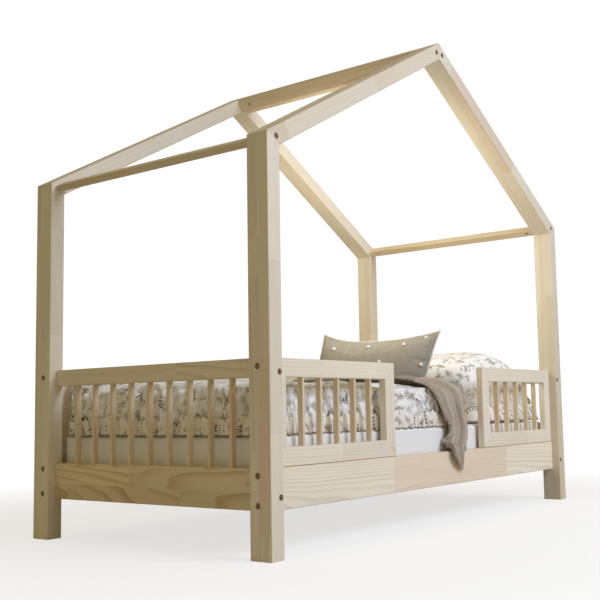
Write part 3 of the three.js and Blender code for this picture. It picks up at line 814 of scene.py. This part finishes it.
def flounce_point(point, outward, distance, drop):
    """The deep flounce, from a seam under the quilt's top edge down to its hem."""
    room = 0.55 if abs(outward.x) > 0.5 else 1.0
    fold = waves(distance, 0.052, 2.0)
    ruck = noise.noise(Vector((distance * 34 + 3 * drop, 4.5 * drop, 5)))
    reach = -0.014 + 0.010 * max(0, outward.y) * (1 - drop) + 0.012 * drop ** 0.5
    reach += (0.0050 + 0.0090 * drop) * fold + 0.013 * ruck
    lean = 0.016 * drop * waves(distance + 0.014, 0.052, 2.0)
    along = Vector((-outward.y, outward.x))
    spot = point + outward * min(reach, 0.003 + 0.008 * room) + along * lean
    uneven = 0.016 * noise.noise(Vector((distance * 8, 7, 0))) + 0.007 * fold
    top = 0.366 + 0.036 * max(0, outward.y)
    height = top - (top - hem_low - 0.014 + uneven) * drop
    return (spot.x, spot.y, height, 0.2 - 1.2 * fold - 1.5 * ruck)


def frill_point(point, outward, distance, drop):
    """The narrow cream frill, whose fine ruffles flare at the hem."""
    room = 0.4 if abs(outward.x) > 0.5 else 1.0
    fold = waves(distance, 0.027, 9.0)
    curl = waves(distance, 0.052, 2.0)
    reach = 0.003 + 0.003 * room + 0.003 * curl + (0.0015 + 0.0065 * drop) * fold
    lean = 0.006 * drop * waves(distance + 0.007, 0.027, 9.0)
    along = Vector((-outward.y, outward.x))
    spot = point + outward * min(reach, 0.006 + 0.006 * room) + along * lean
    top = 0.303 - 0.010 * noise.noise(Vector((distance * 8, 7, 0))) - 0.006 * curl
    hem = hem_low - 0.0085 + 0.0030 * (1 + noise.noise(Vector((distance * 14, 3, 0)))) - 0.001 * fold
    return (spot.x, spot.y, top + (hem - top) * drop, (0.1 - fold) * (0.4 + 0.6 * drop))


frill_cream = printed_cloth("frill_cotton", (0.86, 0.82, 0.74), "print", 0.03, 0.35, hem=0.036)
flounce_cotton = printed_cloth("flounce_cotton", (0.90, 0.89, 0.87), "print", 0.035, 0.9, hem=0.09)
flounce_run = track(quilt_edge, QUILT_CORNER, 0.003)
flounce = ruffle(
    "quilt_flounce", flounce_run, 18, flounce_point, flounce_cotton, 1.5, 0.09
)
frill_run = track(quilt_edge, QUILT_CORNER, 0.0022)
frill = ruffle("quilt_frill", frill_run, 7, frill_point, frill_cream, 1.8, 0.036)

# ------------------------------------------------------------------ pillow
# A plump pillow in the same print, higher towards the head end. Its own frill is sewn into the
# seam and falls to the mattress.

pillow_cotton = printed_cloth("pillow_cotton", (0.93, 0.93, 0.93), "print", 0.06, 0.5)
low, high = (Vector(corner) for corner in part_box("pillow"))
shape = bmesh.new()
bmesh.ops.create_cube(shape, size=2.0)
bmesh.ops.subdivide_edges(shape, edges=shape.edges[:], cuts=44, use_grid_fill=True)
seam_z = low.z + 0.062
PILLOW_X = 0.520
for vert in shape.verts:
    a, b, c = vert.co
    pull_x = 1 - 0.05 * (1 - b * b)
    pull_y = 1 - 0.03 * (1 - a * a)
    x = PILLOW_X + 0.196 * a * pull_x
    y = 0.306 * b * pull_y
    crown = (1 - abs(a) ** 3.6) ** 0.55 * (1 - abs(b) ** 5.5) ** 0.5
    if c > 0:
        tall = 0.150 + 0.020 * min(1, max(-1, 1.6 * (a + 0.25)))
        z = seam_z + c * (0.005 + (tall - 0.012) * crown)
    else:
        z = seam_z + c * (0.005 + 0.052 * min(1, 1.7 * crown))
    vert.co = (x, y, z)
bmesh.ops.recalc_face_normals(shape, faces=shape.faces)
pillow = new_piece("pillow_in_printed_case", shape, pillow_cotton)


def on_pillow_seam(point):
    """Whether a point is on the seam round the pillow."""
    outside = abs(point.x - PILLOW_X) > 0.178 or abs(point.y) > 0.286
    return outside and abs(point.z - seam_z) < 0.004


plump(pillow, 0.0072, 3.0, 0.014, 0.05, on_pillow_seam)
kept_within(pillow, (-1, -1, low.z + 0.0005), (1, 1, high.z + 0.012))
pillow_top = high.z
keep_map(
    pillow,
    "print",
    lambda vert: (
        vert.co.x + 0.8 * vert.normal.x * (pillow_top - vert.co.z) + 0.31,
        vert.co.y + 0.8 * vert.normal.y * (pillow_top - vert.co.z) + 0.17,
        0,
    ),
)
smoothed(pillow)
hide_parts("pillow")

pillow_edge = [(0.325, 0.303), (0.325, -0.303), (0.694, -0.303), (0.694, 0.303)]
pillow_run = track(pillow_edge, 0.03, 0.0035, closed=True)


def pillow_frill_point(point, outward, distance, drop):
    """The pillow's frill, which stands off the seam and falls to the mattress."""
    fold = waves(distance, 0.030, 21.0)
    room = 1.0 if outward.x < -0.5 else (1.12 if abs(outward.y) > 0.5 else 0.15)
    reach = -0.004 + 0.036 * math.sin(drop * 1.5) * room + 0.0055 * drop * fold * room
    spot = point + outward * reach
    fall = 0.062 * drop ** 1.3 + 0.008 * fold * drop * (1 - drop * 0.5)
    return (spot.x, spot.y, max(low.z + 0.002, seam_z + 0.004 - fall), (0.1 - fold) * drop)


pillow_frill = ruffle(
    "pillow_frill", pillow_run, 10, pillow_frill_point, frill_cream, 1.6, 0.036
)

# ------------------------------------------------------------------ cushion
# A 45 x 30 cm cushion in grey-beige linen leans back on the pillow. Its seam is piped, its
# corners stand out as ears, and raised cream dots are sewn to its front.

linen, given, result = new_group(
    "linen_weave",
    [
        ("Place", ARROW, None),
        ("Thread", NUMBER, 0.0014),
        ("Color A", COLOUR, (0.4, 0.37, 0.3, 1)),
        ("Color B", COLOUR, (0.5, 0.47, 0.4, 1)),
    ],
    [("Color", COLOUR), ("Height", NUMBER)],
)
g = linen
thin = given["Thread"]
slub = calc(g, "MULTIPLY", thin, 12.0)
weft = mottle(g, arrow_calc(g, "DIVIDE", given["Place"], triple(g, slub, thin, thin)), 1.0)
warp = mottle(g, arrow_calc(g, "DIVIDE", given["Place"], triple(g, thin, slub, thin)), 1.0)
weave = calc(g, "MULTIPLY", calc(g, "ADD", weft, warp), 0.5)
g.links.new(
    blended(g, fade(g, weave, 0.35, 0.65), given["Color A"], given["Color B"]), result["Color"]
)
g.links.new(weave, result["Height"])


def linen_cloth(name, dark, light, thread, bump, sheen):
    """Slubby linen laid out on a piece's own map. Returns the material, its tree and its colour."""
    made = bpy.data.materials.new(name)
    made.use_nodes = True
    tree = made.node_tree
    place = put(tree, "ShaderNodeAttribute", attribute_name="print").outputs["Vector"]
    yarn = put(
        tree,
        "ShaderNodeGroup",
        {"Place": place, "Thread": thread, "Color A": (*dark, 1), "Color B": (*light, 1)},
        node_tree=linen,
    )
    shader = tree.nodes["Principled BSDF"]
    shader.inputs["Roughness"].default_value = 0.9
    shader.inputs["Sheen Weight"].default_value = sheen
    tree.links.new(yarn.outputs["Color"], shader.inputs["Base Color"])
    raised(tree, yarn.outputs["Height"], bump, 0.0012)
    return made, tree, yarn.outputs["Color"]


cushion_linen = linen_cloth(
    "cushion_linen", (0.255, 0.235, 0.20), (0.315, 0.293, 0.25), 0.0010, 0.5, 0.2
)[0]
seat = Vector((0.183, 0, 0.397))
up = Vector((0.438, 0, 0.899)).normalized()
across = Vector((0, 1, 0))
front = Vector((-0.899, 0, 0.438)).normalized()
HALF_TALL = 0.150
HALF_WIDE = 0.222


def cushion_point(a, b, c):
    """Where a point of the cushion goes: a across, b up and c from back to front, each -1 to 1."""
    wide = HALF_WIDE * a * (1 - 0.055 * (1 - b * b)) * (1 + 0.012 * abs(a * b) ** 6)
    tall = HALF_TALL * b * (1 - 0.05 * (1 - abs(a) ** 2.2)) * (1 + 0.02 * abs(a * b) ** 6)
    if b > 0:
        ear = 0.028 if a > 0 else 0.010
        tall += b * b * (ear * abs(a) ** 2.6 - 0.003 * (1 - a * a))
    crown = ((1 - abs(a) ** 2.6) * (1 - abs(b) ** 2.6)) ** 0.5
    return seat + across * wide + up * tall + front * (c * (0.0045 + 0.037 * crown))


shape = bmesh.new()
bmesh.ops.create_cube(shape, size=2.0)
bmesh.ops.subdivide_edges(shape, edges=shape.edges[:], cuts=36, use_grid_fill=True)
for vert in shape.verts:
    vert.co = cushion_point(*vert.co)
bmesh.ops.recalc_face_normals(shape, faces=shape.faces)
cushion = new_piece("cushion_pad", shape, cushion_linen)


def on_cushion_seam(point):
    """Whether a point is on the piped seam."""
    away = point - seat
    edge = max(abs(away.dot(across)) / HALF_WIDE, abs(away.dot(up)) / HALF_TALL)
    return edge > 0.90 and abs(away.dot(front)) < 0.006


plump(cushion, 0.0045, 4.0, 0.010, 0.03, on_cushion_seam)
keep_map(
    cushion,
    "print",
    lambda vert: ((vert.co - seat).dot(across), (vert.co - seat).dot(up), 0.02 * vert.co.z),
)
smoothed(cushion)
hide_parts("cushion")

border = []
for start, end in (((-1, -1), (1, -1)), ((1, -1), (1, 1)), ((1, 1), (-1, 1)), ((-1, 1), (-1, -1))):
    for step in range(24):
        share = step / 24
        border.append([start[i] + (end[i] - start[i]) * share for i in (0, 1)])
piping_curve = bpy.data.curves.new("cushion_piping", "CURVE")
piping_curve.dimensions = "3D"
piping_curve.bevel_depth = 0.0024
piping_curve.bevel_resolution = 3
line = piping_curve.splines.new("POLY")
line.points.add(len(border) - 1)
line.use_cyclic_u = True
for point, (a, b) in zip(line.points, border):
    seam = cushion_point(a, b, 0)
    point.co = (*(seam + (seam - seat).normalized() * 0.0015), 1)
piping_shape = bpy.data.objects.new("piping_shape", piping_curve)
scene.collection.objects.link(piping_shape)
bpy.context.view_layer.update()
scene_now = bpy.context.evaluated_depsgraph_get()
piping_mesh = bpy.data.meshes.new_from_object(piping_shape.evaluated_get(scene_now))
bpy.data.objects.remove(piping_shape)
shape = bmesh.new()
shape.from_mesh(piping_mesh)
bpy.data.meshes.remove(piping_mesh)
piping_linen = cloth("piping_linen", (0.56, 0.52, 0.44), 0.001, 0.05, 0.2)
new_piece("cushion_seam_piping", shape, piping_linen)

dot_wool = cloth("dot_wool", (0.90, 0.88, 0.80), 0.0009, 0.004, 0.8, sheen=0.5)
bpy.context.view_layer.update()
skin = BVHTree.FromObject(cushion, bpy.context.evaluated_depsgraph_get())
DOT_ROWS = (
    (0.136, (-0.188,)),
    (0.100, (-0.133, 0.001, 0.135)),
    (0.038, (-0.197, -0.066, 0.068, 0.197)),
    (-0.030, (-0.133, 0.001, 0.135)),
    (-0.098, (-0.066, 0.068, 0.193)),
)
DOT_RADIUS = 0.0064
flattened = Matrix.Diagonal((1, 1, 0.72, 1))
shape = bmesh.new()
for height, places in DOT_ROWS:
    for place in places:
        needle = seat + across * place + up * height + front * 0.15
        stitch, outward, _, _ = skin.ray_cast(needle, -front)
        if stitch is None:
            continue
        where = facing_matrix(stitch + outward * 0.0030, outward) @ flattened
        ball = bmesh.ops.create_icosphere(shape, subdivisions=3, radius=DOT_RADIUS, matrix=where)
        for vert in ball["verts"]:
            vert.co += outward * 0.0007 * noise.noise(vert.co * 900)
new_piece("cushion_dots", shape, dot_wool)

# ------------------------------------------------------------------ throw
# A thin beige throw with cream stripes along it, folded lengthwise. It starts behind the cushion's
# front edge, falls over the quilt and the front board, and narrows to a frayed end.

# The middle line's X, Y and Z, and the width there, in millimetres.
STATIONS = [
    (48, 130, 392, 150), (48, 40, 392, 156), (48, -80, 392, 158), (50, -190, 390, 160),
    (72, -236, 386, 200), (86, -275, 380, 214), (90, -312, 367, 190), (88, -337, 346, 164),
    (90, -347, 315, 142), (100, -351, 284, 118), (103, -355, 254, 116), (88, -360, 226, 94),
    (68, -367, 203, 78), (62, -379, 198, 72), (66, -382, 178, 56), (80, -382, 146, 14),
]
stations = [Vector([value / 1000 for value in station]) for station in STATIONS]


def along_throw(share):
    """The middle line and width of the throw at a share of its length, on a smooth curve."""
    place = share * (len(stations) - 1)
    i = min(int(place), len(stations) - 2)
    t = place - i
    before, start, end, after = (
        stations[max(0, min(len(stations) - 1, k))] for k in (i - 1, i, i + 1, i + 2)
    )
    return 0.5 * (
        2 * start
        + (end - before) * t
        + (2 * before - 5 * start + 4 * end - after) * t * t
        + (3 * start - before - 3 * end + after) * t * t * t
    )


shape = bmesh.new()
bmesh.ops.create_grid(shape, x_segments=150, y_segments=72, size=0.5)
flat = shape.verts.layers.float_vector.new("print")
for vert in shape.verts:
    share = vert.co.x + 0.5
    b = 2 * vert.co.y
    here = along_throw(share)
    ahead = along_throw(min(1, share + 0.004)) - along_throw(max(0, share - 0.004))
    way = Vector(ahead[:3]).normalized()
    side = Vector((1, 0, 0))
    side = (side - way * side.dot(way)).normalized()
    out = way.cross(side) * -1
    if out.z < 0 and share < 0.4:
        out = -out
    if share >= 0.4 and out.y > 0:
        out = -out
    width = here[3]
    folds = math.sin(b * 7.2 + 1.5 * share + 0.8) + 0.5 * math.sin(b * 13.0 + 4.0 + 3 * share)
    folds += 0.6 * noise.noise(Vector((b * 2.2, share * 9, 3)))
    lift = 0.0070 * folds * min(1, width / 0.10)
    lift += 0.007 * math.exp(-(((b + 0.93) / 0.10) ** 2)) * min(1, width / 0.12)
    # The third value is how deep the point lies in a fold's valley, where the weave paints shade.
    vert[flat] = (b * 0.15, share * 0.85, max(0, min(1, -0.7 * folds)))
    edge = 0.004 * noise.noise(Vector((share * 14, 1 if b > 0 else 9, 0)))
    vert.co = Vector(here[:3]) + side * (0.5 * b * width + edge * abs(b)) + out * (lift + 0.0045)
bmesh.ops.recalc_face_normals(shape, faces=shape.faces)
throw_cloth, tree, striped = linen_cloth(
    "throw_weave", (0.37, 0.305, 0.24), (0.50, 0.42, 0.34), 0.0014, 0.5, 0.3
)
place = put(tree, "ShaderNodeAttribute", attribute_name="print").outputs["Vector"]
over, _, crease = put(tree, "ShaderNodeSeparateXYZ", {0: place}).outputs
stripe = calc(tree, "PINGPONG", calc(tree, "ADD", over, 0.3), 0.034)
stripe = fade(tree, stripe, 0.0018, 0.0030, 0.85, 0.0)
striped = blended(tree, stripe, striped, (0.62, 0.55, 0.45, 1))
# Painted shade in the folds' valleys.
striped = blended(tree, calc(tree, "MULTIPLY", crease, 0.45), striped, (0.20, 0.15, 0.10, 1))
tree.links.new(striped, tree.nodes["Principled BSDF"].inputs["Base Color"])
throw = new_piece("striped_throw", shape, throw_cloth)
thickened(throw, 0.0020)
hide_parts("throw")

STRANDS = 16
shape = bmesh.new()
for strand in range(STRANDS):
    root_x = 0.0745 + 0.012 * strand / (STRANDS - 1)
    root = Vector((root_x, -0.3825 - 0.001 * (strand % 3), 0.150 + 0.002 * math.sin(strand * 2.1)))
    fall = 0.015 + 0.007 * noise.noise(Vector((strand * 1.7, 0, 0)))
    sway = 0.004 * math.sin(strand * 1.9) + 0.003
    tip = root + Vector((sway, 0.001 * math.sin(strand * 3.1), -fall))
    way = tip - root
    turn = facing_matrix((root + tip) / 2, way.normalized())
    bmesh.ops.create_cone(
        shape,
        cap_ends=True,
        segments=6,
        radius1=0.0009,
        radius2=0.0004,
        depth=way.length,
        matrix=turn,
    )
fringe_wool = cloth("fringe_wool", (0.66, 0.57, 0.45), 0.001, 0.01, 0.3)
fringe = new_piece("throw_fringe", shape, fringe_wool)

# ------------------------------------------------------------------ floor and light
# A plain white floor that runs out to a white surround. A large cool soft light stands off the
# open side, a small warm one over the quilt lights the head end, and the surround fills the rest.

shape = bmesh.new()
bmesh.ops.create_grid(shape, x_segments=1, y_segments=1, size=60)
floor_mesh = bpy.data.meshes.new("floor")
shape.to_mesh(floor_mesh)
shape.free()
floor_white = bpy.data.materials.new("floor_white")
floor_white.use_nodes = True
tree = floor_white.node_tree
matt = tree.nodes["Principled BSDF"]
matt.inputs["Base Color"].default_value = (0.62, 0.59, 0.53, 1)
matt.inputs["Roughness"].default_value = 0.9
# Seen directly, the floor is lighter still, and runs out to white with no horizon.
pale = put(tree, "ShaderNodeBsdfDiffuse", {"Color": (0.93, 0.93, 0.93, 1)})
glow = put(tree, "ShaderNodeEmission", {"Color": (1, 1, 1, 1), "Strength": 1.05})
spot = put(tree, "ShaderNodeTexCoord").outputs["Object"]
gap = put(tree, "ShaderNodeVectorMath", {0: spot}, operation="LENGTH").outputs["Value"]
bright = put(tree, "ShaderNodeMixShader", {0: fade(tree, gap, 0.9, 2.4, 0.66, 1.0)})
tree.links.new(pale.outputs[0], bright.inputs[1])
tree.links.new(glow.outputs[0], bright.inputs[2])
ray = put(tree, "ShaderNodeLightPath").outputs["Is Camera Ray"]
both = put(tree, "ShaderNodeMixShader", {0: ray, 1: matt.outputs[0], 2: bright.outputs[0]})
tree.links.new(both.outputs[0], tree.nodes["Material Output"].inputs["Surface"])
floor_mesh.materials.append(floor_white)
floor = bpy.data.objects.new("floor", floor_mesh)
scene.collection.objects.link(floor)

world = bpy.data.worlds.new("surround")
scene.world = world
world.use_nodes = True
tree = world.node_tree
sky = tree.nodes["Background"]
sky.inputs["Color"].default_value = (1.0, 0.84, 0.47, 1)
sky.inputs["Strength"].default_value = 0.38
seen = put(tree, "ShaderNodeBackground", {"Color": (1, 1, 1, 1), "Strength": 1.05})
ray = put(tree, "ShaderNodeLightPath").outputs["Is Camera Ray"]
chosen = put(tree, "ShaderNodeMixShader", {0: ray, 1: sky.outputs[0], 2: seen.outputs[0]})
tree.links.new(chosen.outputs[0], tree.nodes["World Output"].inputs["Surface"])


def soft_light(name, place, target, width, watts, colour):
    """A square area light aimed at a point."""
    lamp = bpy.data.lights.new(name, "AREA")
    lamp.size = width
    lamp.energy = watts
    lamp.color = colour
    light = bpy.data.objects.new(name, lamp)
    light.location = place
    light.visible_camera = False
    light.rotation_euler = (Vector(target) - Vector(place)).to_track_quat("-Z", "Y").to_euler()
    scene.collection.objects.link(light)


soft_light("key", (0.1, -3.5, 2.5), (0.4, 0, 0.6), 2.0, 112, (0.68, 0.77, 1.0))
soft_light("head_fill", (-0.02, 0.0, 0.84), (0.75, 0.0, 0.98), 0.4, 3.7, (1.0, 0.91, 0.75))
